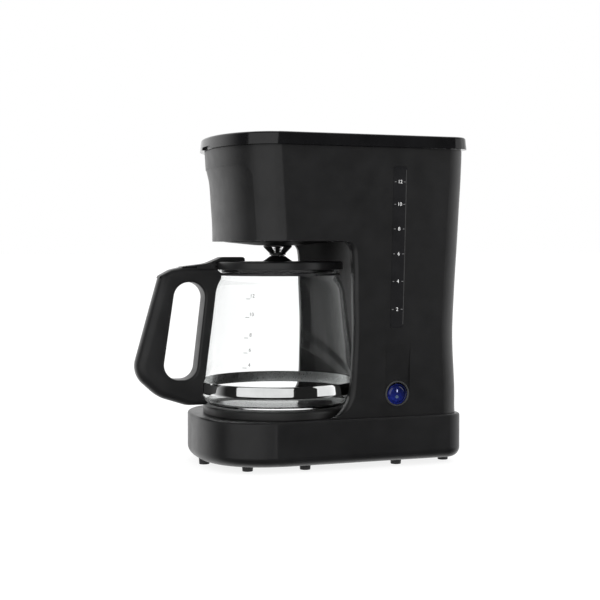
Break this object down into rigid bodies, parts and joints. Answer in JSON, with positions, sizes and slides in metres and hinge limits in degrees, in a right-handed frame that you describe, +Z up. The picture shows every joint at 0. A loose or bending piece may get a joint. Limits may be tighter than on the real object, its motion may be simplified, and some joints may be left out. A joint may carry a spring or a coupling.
{
  "type": "drip coffee maker",
  "caption": "Black drip coffee maker with a glass jug, hinged lid, side water window, round rocker switch and spring drip valve.",
  "frame": {"origin": "on the ground under the middle of the overall box, jug handle included", "axes": "+Z up, -Y towards the jug handle and the front, +X towards the side with the water window and the switch"},
  "size_m": [0.1632, 0.2975, 0.3],
  "materials": {
    "base_plastic": "satin black moulding",
    "body_plastic": "fine satin black moulding",
    "lid_plastic": "polished black moulding",
    "handle_plastic": "satin black moulding",
    "jug_lid_plastic": "satin black moulding",
    "inner_plastic": "plain black moulding",
    "tank_plastic": "dark smoked moulding",
    "window_clear": "smoked clear moulding",
    "bezel_plastic": "dark grey ring",
    "rocker_blue": "see-through dark blue",
    "lamp_glass": "small neon lamp",
    "jug_glass": "clear blown glass",
    "band_chrome": "polished",
    "collar_steel": "black coated steel",
    "plate_enamel": "non-stick black coating",
    "zinc_steel": "zinc plated",
    "element_steel": "heat darkened",
    "tube_aluminium": "drawn",
    "terminal_brass": "plain",
    "foot_rubber": "dark rubber",
    "seal_rubber": "black rubber",
    "hose_silicone": "milky silicone",
    "block_white": "white moulding",
    "wire_cover": "grey glass-sleeved wire"
  },
  "bodies": {
    "machine": {"base_shell": "base_plastic", "bottom_cover": "base_plastic", "rubber_feet": "foot_rubber", "cover_screws": "zinc_steel", "body_screws": "zinc_steel", "warming_plate": "plate_enamel", "plate_gasket": "seal_rubber", "heater_rod": "element_steel", "water_tube": "tube_aluminium", "heater_bracket": "zinc_steel", "thermostat": "zinc_steel", "thermal_fuses": "terminal_brass", "body_shell": "body_plastic", "level_window": "window_clear", "deck": "inner_plastic", "water_tank": "tank_plastic", "tank_grommet": "seal_rubber", "check_valve": "inner_plastic", "cold_hose": "hose_silicone", "hot_hose": "hose_silicone", "hose_clips": "zinc_steel", "riser_tube": "tank_plastic", "riser_spout": "inner_plastic", "switch_bezel": "bezel_plastic", "switch_housing": "inner_plastic", "switch_lamp": "lamp_glass", "cord_inlet": "seal_rubber", "terminal_block": "block_white", "wiring": "wire_cover", "brew_chamber": "inner_plastic", "filter_basket": "inner_plastic", "valve_cage": "inner_plastic"},
    "lid": {"top_lid": "lid_plastic", "lid_hinge_pins": "zinc_steel", "shower_plate": "inner_plastic"},
    "jug": {"glass_jug": "jug_glass", "chrome_band": "band_chrome", "neck_collar": "collar_steel", "handle": "handle_plastic", "handle_cap": "lid_plastic", "handle_screw": "zinc_steel", "jug_lid": "jug_lid_plastic", "thumb_lever": "jug_lid_plastic", "lever_pin": "collar_steel"},
    "valve": {"valve_plunger": "inner_plastic", "valve_seal": "seal_rubber", "valve_spring": "zinc_steel"},
    "rocker": {"switch_rocker": "rocker_blue"}
  },
  "joints": [
    {"name": "lid_hinge", "type": "hinge", "parent": "machine", "child": "lid", "pos_m": [0, 0.14501, 0.291], "axis": [-1, 0, 0], "range_deg": [0, 95]},
    {"name": "jug_slide", "type": "slide", "parent": "machine", "child": "jug", "axis": [0, -1, 0], "range_m": [0, 0.18]},
    {"name": "valve_drop", "type": "slide", "parent": "machine", "child": "valve", "axis": [0, 0, -1], "range_m": [0, 0.0025], "deforming": ["valve_spring"]},
    {"name": "switch_rock", "type": "hinge", "parent": "machine", "child": "rocker", "pos_m": [0.068, 0.07681, 0.067], "axis": [0, -1, 0], "range_deg": [0, 10]}
  ],
  "couplings": [
    {"joint": "valve_drop", "follows": "jug_slide", "ratio": 0.0138}
  ]
}
